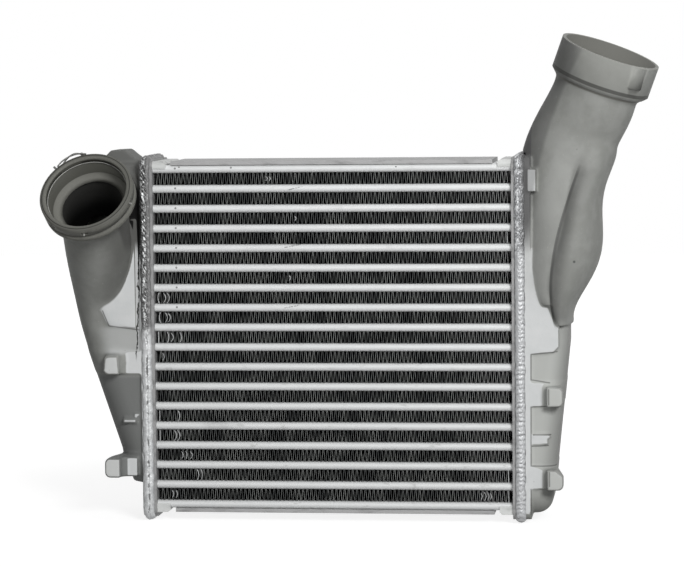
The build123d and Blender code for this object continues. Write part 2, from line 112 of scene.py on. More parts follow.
# --- materials --------------------------------------------------------------------------
class Surface:
    """A material being made: its Principled shader, fed by object-space textures.

    Masks are sockets between 0 and 1. `coat` is the colour laid on so far.
    """

    def __init__(self, name, roughness, metallic, specular=0.5):
        self.material = bpy.data.materials.new(name)
        self.material.use_nodes = True
        self.tree = self.material.node_tree
        self.shader = self.tree.nodes["Principled BSDF"]
        self.shader.inputs["Roughness"].default_value = roughness
        self.shader.inputs["Metallic"].default_value = metallic
        self.shader.inputs["Specular IOR Level"].default_value = specular
        self.place = self.tree.nodes.new("ShaderNodeTexCoord").outputs["Object"]
        split = self.tree.nodes.new("ShaderNodeSeparateXYZ")
        self.feed(split.inputs["Vector"], self.place)
        self.x, self.y, self.z = (split.outputs[axis] for axis in "XYZ")
        self.coat = None

    def feed(self, socket, value):
        """Links a socket, or sets it where the value is a plain one."""
        if isinstance(value, bpy.types.NodeSocket):
            self.tree.links.new(value, socket)
        elif hasattr(value, "__len__") and len(value) == 3 and socket.type == "RGBA":
            socket.default_value = (*value, 1)
        else:
            socket.default_value = value

    def math(self, operation, first, second=0.0, third=0.0):
        """Outcome of an operation on up to three numbers or sockets."""
        node = self.tree.nodes.new("ShaderNodeMath")
        node.operation = operation
        for socket, value in zip(node.inputs, (first, second, third)):
            self.feed(socket, value)
        return node.outputs["Value"]

    def vector(self, operation, first, second, result="Vector"):
        """Outcome of an operation on two vectors, or on a vector and a scale."""
        node = self.tree.nodes.new("ShaderNodeVectorMath")
        node.operation = operation
        self.feed(node.inputs[0], first)
        self.feed(node.inputs["Scale" if operation == "SCALE" else 1], second)
        return node.outputs[result]

    def length(self, vector):
        """Distance of a vector's end from its start."""
        return self.vector("LENGTH", vector, (0, 0, 0), "Value")

    def noise(self, scale, detail, stretch=(1, 1, 1)):
        """Cloudy noise about 0.5; an axis with a stretch under 1 is drawn out."""
        mapping = self.tree.nodes.new("ShaderNodeMapping")
        self.feed(mapping.inputs["Vector"], self.place)
        mapping.inputs["Scale"].default_value = stretch
        node = self.tree.nodes.new("ShaderNodeTexNoise")
        self.feed(node.inputs["Vector"], mapping.outputs["Vector"])
        node.inputs["Scale"].default_value = scale
        node.inputs["Detail"].default_value = detail
        node.inputs["Roughness"].default_value = 0.55
        return node.outputs["Fac"]

    def swing(self, scale, detail, size):
        """Noise shifted to swing about 0, over `size` in all."""
        return self.math("MULTIPLY_ADD", self.noise(scale, detail), size, -size / 2)

    def ramp(self, value, low, high, first=0.0, last=1.0):
        """Value between low and high, mapped smoothly to first and last."""
        node = self.tree.nodes.new("ShaderNodeMapRange")
        node.interpolation_type = "SMOOTHSTEP"
        self.feed(node.inputs["Value"], value)
        ends = {"From Min": low, "From Max": high, "To Min": first, "To Max": last}
        for key, given in ends.items():
            node.inputs[key].default_value = given
        return node.outputs["Result"]

    def fade(self, value, low, high, first=1.0):
        """`first` below low, falling to 0 at high."""
        return self.ramp(value, low, high, first, 0.0)

    def near(self, value, low, high, soft):
        """1 between low and high, falling to 0 within `soft` outside them."""
        return self.all(self.ramp(value, low - soft, low), self.fade(value, high, high + soft))

    def curve(self, value, middle, terms):
        """Polynomial of a value about a middle, highest power first."""
        offset = self.math("SUBTRACT", value, middle)
        total = terms[0]
        for term in terms[1:]:
            total = self.math("MULTIPLY_ADD", total, offset, term)
        return total

    def all(self, *masks):
        """Where every mask holds: their product."""
        product = masks[0]
        for mask in masks[1:]:
            product = self.math("MULTIPLY", product, mask)
        return product

    def any(self, *masks):
        """Where at least one mask holds: the largest."""
        largest = masks[0]
        for mask in masks[1:]:
            largest = self.math("MAXIMUM", largest, mask)
        return largest

    def outside(self, mask):
        """Where a mask doesn't hold."""
        return self.math("SUBTRACT", 1.0, mask)

    def spot(self, centre, radius, soft=0.4, stretch=(1, 1, 1)):
        """1 inside a blob about a point, falling to 0 outside it."""
        offset = self.vector("MULTIPLY", self.vector("SUBTRACT", self.place, centre), stretch)
        return self.fade(self.length(offset), radius * (1 - soft), radius)

    def line(self, x0, z0, x1, z1, width):
        """1 on a straight line drawn across the front, falling to 0 beside it."""
        run = (x1 - x0, 0, z1 - z0)
        square = run[0] ** 2 + run[2] ** 2
        offset = self.vector("MULTIPLY", self.vector("SUBTRACT", self.place, (x0, 0, z0)), (1, 0, 1))
        share = self.vector("DOT_PRODUCT", offset, tuple(c / square for c in run), "Value")
        share = self.math("MINIMUM", self.math("MAXIMUM", share, 0.0), 1.0)
        beside = self.vector("SUBTRACT", offset, self.vector("SCALE", run, share))
        return self.fade(self.length(beside), width * 0.4, width)

    def normal(self):
        return self.tree.nodes.new("ShaderNodeNewGeometry").outputs["Normal"]

    def facing_front(self):
        """1 on faces square to the front."""
        split = self.tree.nodes.new("ShaderNodeSeparateXYZ")
        self.feed(split.inputs["Vector"], self.normal())
        return self.fade(split.outputs["Y"], -0.985, -0.94)

    def about(self, centre, axis):
        """How far a point lies along an axis and away from it, and if it faces outwards."""
        offset = self.vector("SUBTRACT", self.place, tuple(centre))
        along = self.vector("DOT_PRODUCT", offset, tuple(axis), "Value")
        away = self.vector("SUBTRACT", offset, self.vector("SCALE", tuple(axis), along))
        outwards = self.vector("DOT_PRODUCT", away, self.normal(), "Value")
        return along, self.length(away), outwards

    def crack(self):
        """The thin wandering split along the left bead, down the edge of the pad."""
        wander = self.math("SUBTRACT", self.math("MULTIPLY", self.x, -1.0), self.swing(110, 4, 0.006))
        leaned = self.math("MULTIPLY_ADD", self.z, 0.0458, wander)
        return self.all(self.near(leaned, 0.1599, 0.1607, 0.0004), self.near(self.z, 0.128, 0.232, 0.01))

    def mix(self, factor, first, second):
        """The first colour, turned to the second where the factor is 1."""
        node = self.tree.nodes.new("ShaderNodeMix")
        node.data_type = "RGBA"
        self.feed(node.inputs[0], factor)
        self.feed(node.inputs[6], first)
        self.feed(node.inputs[7], second)
        return node.outputs[2]

    def paint(self, mask, colour, share=1.0):
        """Lays a colour over the coat where the mask holds, covering `share` of it."""
        if share != 1.0:
            mask = self.math("MULTIPLY", mask, share)
        self.coat = self.mix(mask, self.coat, colour)

    def bump(self, height, distance, strength):
        node = self.tree.nodes.new("ShaderNodeBump")
        node.inputs["Distance"].default_value = distance
        node.inputs["Strength"].default_value = strength
        self.feed(node.inputs["Height"], height)
        self.feed(self.shader.inputs["Normal"], node.outputs["Normal"])

    def rough(self, value):
        self.feed(self.shader.inputs["Roughness"], value)

    def finished(self):
        """The material, with its coat on."""
        self.feed(self.shader.inputs["Base Color"], self.coat)
        return self.material


def tube_metal():
    """Near-white extruded aluminium with faint streaks, small dark marks and smudges, and painted shade
    darkening the lower bars.
    """
    made = Surface("tube_metal", 0.5, 0.15, 0.3)
    streaks = made.noise(700, 3, (0.08, 1, 1))
    clouds = made.noise(45, 4, (0.4, 1, 1))
    grime = made.ramp(made.noise(230, 5, (0.45, 1, 1)), 0.60, 0.72)
    # Painted shade: the bars grow darker towards the bottom of the core.
    lower = made.fade(made.z, 0.0, 0.26)
    made.coat = made.mix(lower, (0.74, 0.75, 0.75), (0.66, 0.67, 0.67))
    made.paint(made.ramp(streaks, 0.3, 0.7, 0.0, 0.25), (0.60, 0.61, 0.61))
    made.paint(made.ramp(clouds, 0.5, 0.75, 0.0, 0.3), (0.62, 0.62, 0.62))
    made.paint(made.all(grime, made.ramp(lower, 0.3, 1.0, 0.12, 0.45)), (0.30, 0.30, 0.29))

    # Small dark dots, one on each of eight bars, and three more on the top bar.
    top = nose_level(TUBE_ROWS - 1)
    dots = []
    for row in range(8):
        level = nose_level(TUBE_ROWS - 1 - row)
        dots.append(made.spot((-0.1222, FRONT_OF_BARS, level + 0.0006), 0.0010))
    for x, rise, radius in ((-0.119, 0.0018, 0.0010), (-0.078, 0.001, 0.0010), (0.051, 0.001, 0.0008)):
        dots.append(made.spot((x, FRONT_OF_BARS, top + rise), radius))
    made.paint(made.any(*dots), (0.1, 0.1, 0.1), 0.8)

    scratches = made.any(*(made.line(*ends, 0.0006) for ends in (
        (-0.0333, 0.253, -0.0223, 0.2557),
        (-0.0362, 0.2083, -0.0244, 0.2106),
        (-0.0341, 0.1861, -0.0247, 0.188),
        (-0.0368, 0.1611, -0.0265, 0.163),
        (0.0684, 0.1175, 0.0778, 0.1198),
    )))
    broken = made.ramp(made.noise(900, 3), 0.42, 0.52, 0.1, 0.7)
    made.paint(made.all(scratches, broken), (0.12, 0.12, 0.12))
    smear = made.spot((-0.092, -0.031, nose_level(4)), 0.016, 0.8, (1, 1, 3))
    made.paint(made.all(smear, made.ramp(clouds, 0.3, 0.6)), (0.40, 0.40, 0.40))
    made.rough(made.ramp(clouds, 0.3, 0.7, 0.45, 0.6))
    made.bump(streaks, 0.0001, 0.25)
    return made.finished()


def fin_metal():
    """Fin strip whose front edges stay brighter, in sooty patches and evenly grey towards the right;
    behind them it is painted near black as the shade deep in its channels, less dark towards the right
    as painted light.
    """
    made = Surface("fin_metal", 0.5, 0.3)
    patches = made.ramp(made.noise(120, 4, (1, 1, 0.5)), 0.35, 0.65)
    edge = made.mix(patches, (0.07, 0.075, 0.075), (0.28, 0.29, 0.28))
    edge = made.mix(made.ramp(made.x, 0.09, 0.125), edge, (0.26, 0.265, 0.26))
    # Painted shade: near black for the shade deep in the channels, less dark towards the right as
    # painted light.
    made.coat = made.mix(made.ramp(made.x, 0.05, 0.14), (0.003, 0.003, 0.003), (0.08, 0.08, 0.08))
    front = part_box("fin_row_01")[0].y
    made.paint(made.fade(made.y, front, front + 0.7 * MM), edge)
    return made.finished()


def cast_metal():
    """Sand-cast aluminium: warm grey, grainy, with paler flat seats and a dark socket, and painted shade
    and light on its ducts, socket, collar and edges.
    """
    made = Surface("cast_metal", 0.6, 0.0, 0.15)
    grain = made.noise(900, 4)
    lumps = made.noise(60, 4)
    on_left = made.ramp(made.x, -0.1, -0.12)
    on_right = made.ramp(made.x, 0.1, 0.12)
    made.coat = made.mix(made.ramp(lumps, 0.35, 0.65), (0.255, 0.26, 0.245), (0.30, 0.305, 0.29))
    cast_zones(made, on_left, on_right)
    pads = cast_seats(made, lumps)
    right_duct_shades(made, on_right)
    left_duct_shades(made, made.all(on_left, made.outside(pads)))
    cast_blemishes(made)
    socket_shades(made, grain)
    collar_shades(made)
    cast_outlines(made)
    made.rough(made.ramp(grain, 0.3, 0.7, 0.55, 0.68))
    made.bump(made.math("MULTIPLY_ADD", grain, 0.5, lumps), 0.0003, 0.5)
    return made.finished()


def cast_zones(made, on_left, on_right):
    """Broad tones: pale lower right tank, darker at its bottom and with painted shade towards its right
    edge, darker left panels, shelf and right flange.
    """
    x, y, z = made.x, made.y, made.z
    low_right = made.all(on_right, made.fade(z, 0.12, 0.17))
    made.paint(low_right, (0.47, 0.48, 0.46))
    # Painted shade: the lower right tank darkens towards its right edge, where its side turns away.
    outline = made.math("MULTIPLY_ADD", z, 0.1418, 0.1672)
    edge_shade = made.ramp(made.math("SUBTRACT", x, outline), -0.017, 0.0, 0.0, 0.5)
    made.paint(made.all(low_right, edge_shade), (0.13, 0.13, 0.125))
    made.paint(made.all(low_right, made.fade(z, 0.005, 0.035)), (0.27, 0.275, 0.26))
    panel = made.all(on_left, made.fade(z, 0.105, 0.110), made.fade(y, -0.010, 0.020))
    made.paint(panel, (0.185, 0.19, 0.185))
    shelf = made.all(made.near(x, -0.172, -0.150, 0.018), made.near(z, 0.1275, 0.1440, 0.004))
    made.paint(made.all(shelf, made.fade(y, -0.036, -0.030)), (0.53, 0.54, 0.535))
    flange = made.all(made.near(x, 0.149, 0.1545, 0.0005), made.ramp(z, 0.14, 0.16))
    made.paint(flange, (0.15, 0.15, 0.15))


def cast_seats(made, lumps):
    """Pale flat pads, tab and lug seats. Gives back the mask of the pads."""
    x, y, z = made.x, made.y, made.z
    flat = made.facing_front()
    pads = made.all(flat, made.near(y, -0.0356, -0.0344, 0.0003), made.fade(z, 0.200, 0.228))
    tab = made.all(made.near(x, 0.1521, 0.1593, 0.0002), made.near(z, 0.2508, 0.2688, 0.0002), flat)
    pale = made.mix(made.ramp(lumps, 0.3, 0.7), (0.63, 0.645, 0.645), (0.68, 0.69, 0.69))
    made.paint(made.any(pads, tab), pale)
    seats = made.all(flat, made.near(y, -0.0450, -0.0427, 0.0003), made.fade(z, 0.129, 0.130))
    made.paint(seats, made.mix(made.ramp(x, -0.01, 0.01), (0.62, 0.63, 0.62), (0.51, 0.52, 0.50)))
    return pads


def right_duct_shades(made, on_right):
    """Painted shade in the fold between the right duct's lobes and on the face left of it, and a painted
    highlight on the ridge.
    """
    x, y, z = made.x, made.y, made.z
    front = made.fade(y, -0.010, 0.0)
    # Painted shade in the fold between the lobes, fading out right of it.
    past_fold = made.math("SUBTRACT", x, made.curve(z, 0.205, (-12.733, 2.536, 0.185, 0.1725)))
    in_fold = made.all(made.near(z, 0.156, 0.262, 0.012), front, made.ramp(past_fold, -0.0006, 0.0))
    made.paint(made.all(in_fold, made.fade(past_fold, 0.004, 0.016, 0.42)), (0.04, 0.04, 0.04))
    made.paint(made.all(in_fold, made.fade(past_fold, 0.0008, 0.0028, 0.75)), (0.04, 0.04, 0.038))
    # Painted shade on the duct's left-facing flank.
    before_ridge = made.math("SUBTRACT", made.curve(z, 0.269, (1.860, 0.214, 0.1628)), x)
    flank_shade = made.all(made.ramp(before_ridge, 0.0, 0.004), made.ramp(z, 0.20, 0.215), on_right)
    made.paint(made.all(flank_shade, made.fade(y, 0.005, 0.03)), (0.10, 0.10, 0.10), 0.48)
    # Painted highlight along the ridge.
    ridge = made.all(made.near(past_fold, -0.019, -0.003, 0.007), made.near(z, 0.185, 0.275, 0.03))
    made.paint(made.all(ridge, front, on_right), (0.40, 0.405, 0.39), 0.35)


def left_duct_shades(made, on_duct):
    """Painted shade on the left duct's flank beside its pad, and under the socket."""
    z = made.z
    on_duct = made.all(on_duct, made.fade(made.y, -0.022, 0.002))
    # Painted shade on the flank beside the pad, and under the socket.
    to_pad = made.math("SUBTRACT", made.curve(z, 0.183, (96.293, -7.438, 0.362, -0.1667)), made.x)
    flank = made.all(made.near(z, 0.172, 0.226, 0.014), on_duct, made.fade(to_pad, 0.0, 0.018, 0.6))
    made.paint(flank, (0.06, 0.06, 0.055))
    made.paint(made.all(on_duct, made.near(z, 0.206, 0.24, 0.03)), (0.08, 0.08, 0.07), 0.1)


def cast_blemishes(made):
    """Pits, specks, weld spill by the pad, a darker crown, the socket's painted shadow on the side, and
    the crack.
    """
    x, z = made.x, made.z
    made.paint(made.ramp(made.noise(420, 2), 0.72, 0.80), (0.12, 0.12, 0.11), 0.35)
    made.paint(made.ramp(made.noise(640, 2), 0.70, 0.78), (0.62, 0.62, 0.58), 0.3)
    spill = made.all(made.near(x, -0.1542, -0.1500, 0.0003), made.near(z, 0.130, 0.228, 0.003))
    made.paint(spill, (0.50, 0.51, 0.51))
    made.paint(made.all(made.ramp(x, -0.14, -0.15), made.ramp(z, 0.262, 0.270)), (0.15, 0.152, 0.145))
    # Painted shadow of the socket on the side beside the bead.
    socket_shadow = made.all(made.near(x, -0.158, -0.150, 0.002), made.near(z, 0.215, 0.262, 0.012))
    made.paint(socket_shadow, (0.09, 0.09, 0.085))
    made.paint(made.all(made.crack(), made.ramp(made.noise(140, 2), 0.30, 0.40)), (0.03, 0.03, 0.028))


def socket_shades(made, grain):
    """Dark greenish ring, painted shade in its wire groove, on the walls inside it and down the throat,
    and the step inside it.
    """
    along, away, outwards = made.about(*SOCKET)
    ring = made.all(made.ramp(along, -0.0205, -0.0185), made.fade(away, 0.0372, 0.0376))
    made.paint(ring, made.mix(made.ramp(grain, 0.3, 0.7), (0.135, 0.135, 0.120), (0.175, 0.175, 0.158)))
    face = made.all(made.ramp(along, -0.0012, -0.0008), made.ramp(away, 0.0330, 0.0336), ring)
    made.paint(face, (0.125, 0.125, 0.112))
    # Painted shade in the wire groove.
    groove = made.all(ring, made.near(away, 0.0345, 0.0349, 0.0003), made.ramp(along, -0.0020, -0.0016))
    made.paint(groove, (0.02, 0.02, 0.018), 0.9)
    # Painted shade on the walls inside the socket.
    walls = made.all(made.near(along, -0.0166, -0.0012, 0.0003), made.fade(away, 0.0330, 0.0345))
    made.paint(walls, (0.075, 0.075, 0.065))
    step = made.all(made.near(along, -0.0206, -0.0166, 0.0002), made.fade(away, 0.0302, 0.0304))
    made.paint(step, (0.18, 0.18, 0.162))
    # Painted shade down the throat, darker further in.
    throat = made.all(made.fade(along, -0.0205, -0.0203), made.fade(away, 0.040, 0.045))
    throat_shade = made.mix(made.ramp(along, -0.050, -0.021), (0.001, 0.001, 0.001), (0.035, 0.035, 0.033))
    made.paint(made.all(throat, made.fade(outwards, -0.001, 0.0)), throat_shade)


def collar_shades(made):
    """Painted shadow under the lower edge, a worn lip with a painted highlight, painted light on the
    front and painted shade inside the collar.
    """
    rise, reach, _ = made.about(*COLLAR)
    # Painted shadow under the collar's lower edge.
    lower_edge = made.all(made.near(rise, -0.0245, -0.0222, 0.0006), made.fade(reach, 0.0395, 0.0400))
    made.paint(lower_edge, (0.05, 0.05, 0.045), 0.7)
    # Worn lip with a painted highlight.
    lip = made.all(made.ramp(rise, -0.0007, -0.0004), made.near(reach, 0.035, 0.040, 0.0005))
    made.paint(lip, (0.42, 0.42, 0.39), 0.5)
    # Painted light on the collar's front.
    outer = made.all(made.near(rise, -0.0215, -0.0006, 0.001), made.ramp(reach, 0.0364, 0.0368))
    made.paint(made.all(outer, made.near(made.x, 0.198, 0.232, 0.012)), (0.38, 0.385, 0.36), 0.5)
    # Painted shade inside the collar.
    inside = made.all(made.fade(reach, 0.0362, 0.0364), made.ramp(rise, -0.030, -0.029))
    made.paint(made.all(inside, made.ramp(made.z, 0.30, 0.31)), (0.17, 0.17, 0.155))


def cast_outlines(made):
    """Thin painted shade lines along the edges of panels, lugs and pad (x and z of both ends), and two
    pits.
    """
    upper_panel = (
        (0.1546, 0.1254, 0.1545, 0.1056), (0.1546, 0.1254, 0.1746, 0.1273),
        (0.1545, 0.1056, 0.1688, 0.1033),
    )
    lower_panel = (
        (0.1544, 0.0846, 0.1542, 0.0387), (0.1544, 0.0846, 0.1798, 0.0858),
        (0.1542, 0.0387, 0.1735, 0.0381), (0.1541, 0.0205, 0.1540, 0.0005),
        (0.1560, 0.0629, 0.1694, 0.0629), (0.1550, 0.0540, 0.1674, 0.0544),
    )
    lugs = ((0.1685, 0.0990, 0.1685, 0.0873), (0.1688, 0.0349, 0.1688, 0.0240))
    pad = ((-0.1809, 0.1590, -0.1761, 0.1472), (-0.1761, 0.1472, -0.1523, 0.1440))
    # Painted shade: thin dark lines along the edges of the steps.
    drawn = made.any(*(made.line(*ends, 0.0007) for ends in upper_panel + lower_panel + lugs + pad))
    made.paint(made.all(drawn, made.fade(made.y, -0.010, 0.0)), (0.05, 0.05, 0.048), 0.6)
    pits = made.any(
        made.spot((0.1905, -0.040, 0.283), 0.0016, 0.6, (1, 0.2, 1)),
        made.spot((0.1885, -0.045, 0.1975), 0.0014, 0.6, (1, 0.2, 1)),
    )
    made.paint(pits, (0.06, 0.06, 0.06), 0.8)


def weld_metal():
    """Aluminium weld: sooty rope above, cleaner coin stack or seam below, with painted highlights and
    painted shade on its ripples.
    """
    made = Surface("weld_metal", 0.42, 0.35, 0.4)
    low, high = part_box("right_weld_bead")
    width = high.x - low.x
    across = made.math("MULTIPLY_ADD", made.math("ABSOLUTE", made.x), 1 / width, -low.x / width)
    fine = made.noise(1100, 4)
    coarse = made.noise(260, 3)
    left = left_weld_coat(made, across, fine, coarse)
    right = right_weld_coat(made, across, fine, coarse)
    made.coat = made.mix(made.ramp(made.x, -0.01, 0.01), left, right)
    made.bump(made.noise(700, 3), 0.0003, 0.6)
    return made.finished()


def left_weld_coat(made, across, fine, coarse):
    """Sooty rope with bright flecks of painted highlight above, a pale bead with a broken dark seam
    below.
    """
    upper = made.ramp(made.z, *LEFT_ROPE)
    seam = made.math("MULTIPLY_ADD", made.noise(90, 3), 0.3, 0.30)
    from_seam = made.math("ABSOLUTE", made.math("SUBTRACT", across, seam))
    beside = made.math("SUBTRACT", across, made.math("ADD", seam, 0.13))
    # Painted highlights: bright flecks on the rope.
    flecks = made.ramp(made.noise(480, 3, (1, 1, 0.6)), 0.48, 0.56)
    flecks = made.all(flecks, made.fade(made.math("ABSOLUTE", beside), 0.10, 0.22))
    made.coat = made.mix(made.ramp(fine, 0.42, 0.62), (0.04, 0.04, 0.04), (0.19, 0.19, 0.19))
    made.paint(flecks, (0.52, 0.53, 0.53))
    inner_strip = made.mix(fine, (0.13, 0.13, 0.13), (0.22, 0.22, 0.22))
    rope = made.mix(made.fade(across, 0.22, 0.34), made.coat, inner_strip)
    made.coat = made.mix(made.ramp(coarse, 0.35, 0.65), (0.44, 0.45, 0.455), (0.60, 0.61, 0.615))
    made.paint(upper, rope)
    dashes = made.all(
        made.fade(from_seam, 0.03, 0.15), made.ramp(made.noise(230, 5), 0.51, 0.57), made.outside(upper)
    )
    made.paint(dashes, (0.15, 0.15, 0.15))
    made.paint(made.crack(), (0.04, 0.04, 0.04))
    return made.coat


def right_weld_coat(made, across, fine, coarse):
    """Sooty rope with painted highlights above, stacked coins below, drawn with painted shade and
    glints, that spread over the bead further down.
    """
    z = made.z
    drifting = made.math("ADD", across, made.swing(120, 3, 0.36))
    off = made.math("SUBTRACT", drifting, 0.55)
    arc = made.math("MULTIPLY", made.math("MULTIPLY", off, off), 7.0)
    phase = made.math("MULTIPLY_ADD", z, math.tau / COIN_PITCH, arc)
    wave = made.math("SINE", made.math("MULTIPLY_ADD", made.noise(130, 3), 9.0, phase))
    aside = made.math("SUBTRACT", drifting, made.ramp(z, 0.11, 0.14, 0.0, 0.28))
    patchy = made.ramp(made.noise(170, 3), 0.40, 0.60, 0.25, 1.0)
    lane = made.all(made.near(aside, 0.25, 0.88, 0.12), patchy)
    made.coat = made.mix(coarse, (0.30, 0.305, 0.31), (0.52, 0.53, 0.54))
    # Painted glints on the coins.
    made.paint(made.all(made.fade(wave, -0.9, -0.2), lane), (0.68, 0.69, 0.70), 0.5)
    # Painted shade: thin dark arcs between the coins.
    made.paint(made.all(made.ramp(wave, 0.72, 0.96), lane), (0.13, 0.13, 0.135), 0.75)
    inner_rim = made.all(made.near(drifting, 0.06, 0.12, 0.05), made.ramp(coarse, 0.40, 0.55))
    made.paint(made.any(made.ramp(drifting, 0.92, 0.98), inner_rim), (0.13, 0.13, 0.135), 0.75)
    clean = made.coat
    made.coat = made.mix(made.ramp(fine, 0.40, 0.62), (0.14, 0.14, 0.145), (0.40, 0.41, 0.42))
    made.paint(made.ramp(across, 0.50, 0.85, 0.0, 0.65), (0.10, 0.10, 0.10))
    # Painted highlights: bright strokes on the rope.
    strokes = made.ramp(made.noise(480, 3, (1, 1, 0.6)), 0.48, 0.57)
    made.paint(made.all(strokes, made.near(across, 0.18, 0.42, 0.14)), (0.68, 0.69, 0.70), 0.85)
    return made.mix(made.ramp(z, *RIGHT_ROPE), clean, made.coat)


def plate_metal(name, first, second):
    """Pale, slightly smudged sheet: plates, corner blocks, bent fins, and a brighter copy of the clip
    wire that paints its highlights.
    """
    made = Surface(name, 0.5, 0.2, 0.3)
    smears = made.noise(150, 4, (0.3, 1, 1))
    made.coat = made.mix(made.ramp(smears, 0.45, 0.7), first, second)
    made.bump(made.noise(500, 3), 0.0002, 0.4)
    return made.finished()


def wire_metal():
    """Spring wire of the clip."""
    made = Surface("wire_metal", 0.35, 0.5)
    patches = made.ramp(made.noise(400, 2), 0.3, 0.7)
    made.coat = made.mix(patches, (0.07, 0.07, 0.065), (0.20, 0.20, 0.19))
    return made.finished()


def floor_paint():
    """White floor: seen white, with the part's soft shadow left in it."""
    made = Surface("floor_paint", 0.9, 0.0, 0.1)
    made.coat = made.mix(made.noise(3, 2), (0.33, 0.33, 0.33), (0.36, 0.36, 0.36))
    path = made.tree.nodes.new("ShaderNodeLightPath")
    seen = made.any(*(path.outputs[kind] for kind in SEEN_RAYS))
    glow = made.ramp(made.length(made.place), 0.25, 0.6, 0.84, 1.0)
    made.feed(made.shader.inputs["Emission Color"], (1, 1, 1))
    made.feed(made.shader.inputs["Emission Strength"], made.all(seen, glow))
    return made.finished()


# --- shapes -----------------------------------------------------------------------------
def nose_level(index):
    """Height of a tube's centre line; tube 0 is the lowest."""
    low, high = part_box(f"tube_{index + 1:02d}")
    return (low.z + high.z) / 2


def shaped(name, verts, faces, smooth=True):
    """A new mesh object whose points are already in the frame."""
    mesh = bpy.data.meshes.new(name)
    mesh.from_pydata([tuple(v) for v in verts], [], faces)
    mesh.update()
    if smooth:
        mesh.shade_smooth()
    made = bpy.data.objects.new(name, mesh)
    bpy.context.scene.collection.objects.link(made)
    return made


def dressed(piece, finish, slot, *replaced):
    """Gives a piece its finish, ties it to the body and hides the CAD parts it stands for."""
    piece.data.materials.clear()
    piece.data.materials.append(finish)
    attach(piece, "root")
    if replaced:
        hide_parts(*replaced)
    return piece


def fin_strip(row):
    """Corrugated strip between two tubes, with its waves slightly out of true."""
    low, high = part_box(f"fin_row_{row:02d}")
    rng = random.Random(row)
    half = (high.x - low.x) / (2 * FIN_WAVES)
    crest = FIN_CREST * half
    points = []
    for index in range(2 * FIN_WAVES + 1):
        x = low.x + index * half + rng.gauss(0, 0.06 * MM)
        z = high.z - FIN_SHEET / 2 if index % 2 else low.z + FIN_SHEET / 2
        points.append((x - crest, z))
        points.append((x + crest, z))
    points[0] = (low.x, points[0][1])
    points[-1] = (high.x, points[-1][1])
    verts, faces = [], []
    for index, (x, z) in enumerate(points):
        x0, z0 = points[max(index - 1, 0)]
        x1, z1 = points[min(index + 1, len(points) - 1)]
        normal = Vector((z0 - z1, x1 - x0)).normalized() * FIN_SHEET / 2
        front = low.y + abs(rng.gauss(0, 0.12 * MM))
        for side in (-1, 1):
            for y in (front, high.y):
                verts.append((x + side * normal.x, y, z + side * normal.y))
    for index in range(len(points) - 1):
        a, b = 4 * index, 4 * index + 4
        faces.append((a, b, b + 1, a + 1))
        faces.append((a + 2, a + 3, b + 3, b + 2))
        faces.append((a, a + 2, b + 2, b))
        faces.append((a + 1, b + 1, b + 3, a + 3))
    end = 4 * (len(points) - 1)
    faces.append((0, 1, 3, 2))
    faces.append((end, end + 2, end + 3, end + 1))
    return shaped(f"fins_{row:02d}", verts, faces, smooth=False)


def applied(piece):
    """Bakes a piece's modifiers into its mesh."""
    bpy.context.view_layer.update()
    whole = piece.evaluated_get(bpy.context.evaluated_depsgraph_get())
    mesh = bpy.data.meshes.new_from_object(whole)
    piece.modifiers.clear()
    piece.data = mesh


def corners(mesh):
    """A mesh's points as rows of x, y and z."""
    flat = np.empty(3 * len(mesh.vertices))
    mesh.vertices.foreach_get("co", flat)
    return flat.reshape(-1, 3)


def spread(mesh, place):
    """Distances of a mesh's points along and away from an axis."""
    centre, axis = (np.array(part) for part in place)
    offset = corners(mesh) - centre
    along = offset @ axis
    away = np.linalg.norm(offset - along[:, None] * axis, axis=1)
    return along, away


def kept(mesh, wanted):
    """Copy of a mesh with only the faces all of whose corners are wanted."""
    work = bmesh.new()
    work.from_mesh(mesh)
    work.verts.ensure_lookup_table()
    gone = [face for face in work.faces if not all(wanted[v.index] for v in face.verts)]
    bmesh.ops.delete(work, geom=gone, context="FACES")
    result = bpy.data.meshes.new(mesh.name)
    work.to_mesh(result)
    work.free()
    return result


def welded_up(mesh):
    """Copy of a CAD mesh whose faces share their corners."""
    result = mesh.copy()
    work = bmesh.new()
    work.from_mesh(result)
    bmesh.ops.remove_doubles(work, verts=work.verts, dist=1e-6)
    work.to_mesh(result)
    work.free()
    return result


def softened(name, mesh, soft):
    """Object with remeshed, eased edges, melted further where `soft` says, then lightened."""
    made = bpy.data.objects.new(name, mesh)
    bpy.context.scene.collection.objects.link(made)
    made.modifiers.new("voxels", "REMESH").voxel_size = cast_voxel
    applied(made)
    group = made.vertex_groups.new(name="soft")
    weights = soft(corners(made.data))
    for level in (0.25, 0.5, 0.75, 1.0):
        chosen = np.nonzero((weights > level - 0.125) & (weights <= level + 0.125))[0]
        group.add([int(i) for i in chosen], level, "REPLACE")
    ease = made.modifiers.new("ease", "SMOOTH")
    ease.factor = 0.5
    ease.iterations = 4
    melt = made.modifiers.new("melt", "SMOOTH")
    melt.factor = 0.7
    melt.iterations = 40
    melt.vertex_group = "soft"
    applied(made)
    count = 2 * len(made.data.polygons)
    if count > CAST_TRIANGLES:
        made.modifiers.new("lighten", "DECIMATE").ratio = CAST_TRIANGLES / count
        applied(made)
    return made


def crisp_ring(mesh, place, cut, radius):
    """The turned ring about an axis as the CAD has it, from a little below the cut."""
    centre, axis = place
    work = bmesh.new()
    work.from_mesh(mesh)
    everything = list(work.verts) + list(work.edges) + list(work.faces)
    point = centre + axis * (cut - RING_OVERLAP)
    bmesh.ops.bisect_plane(work, geom=everything, plane_co=point, plane_no=axis, clear_inner=True)
    work.to_mesh(mesh)
    work.free()
    return kept(mesh, spread(mesh, place)[1] < radius)


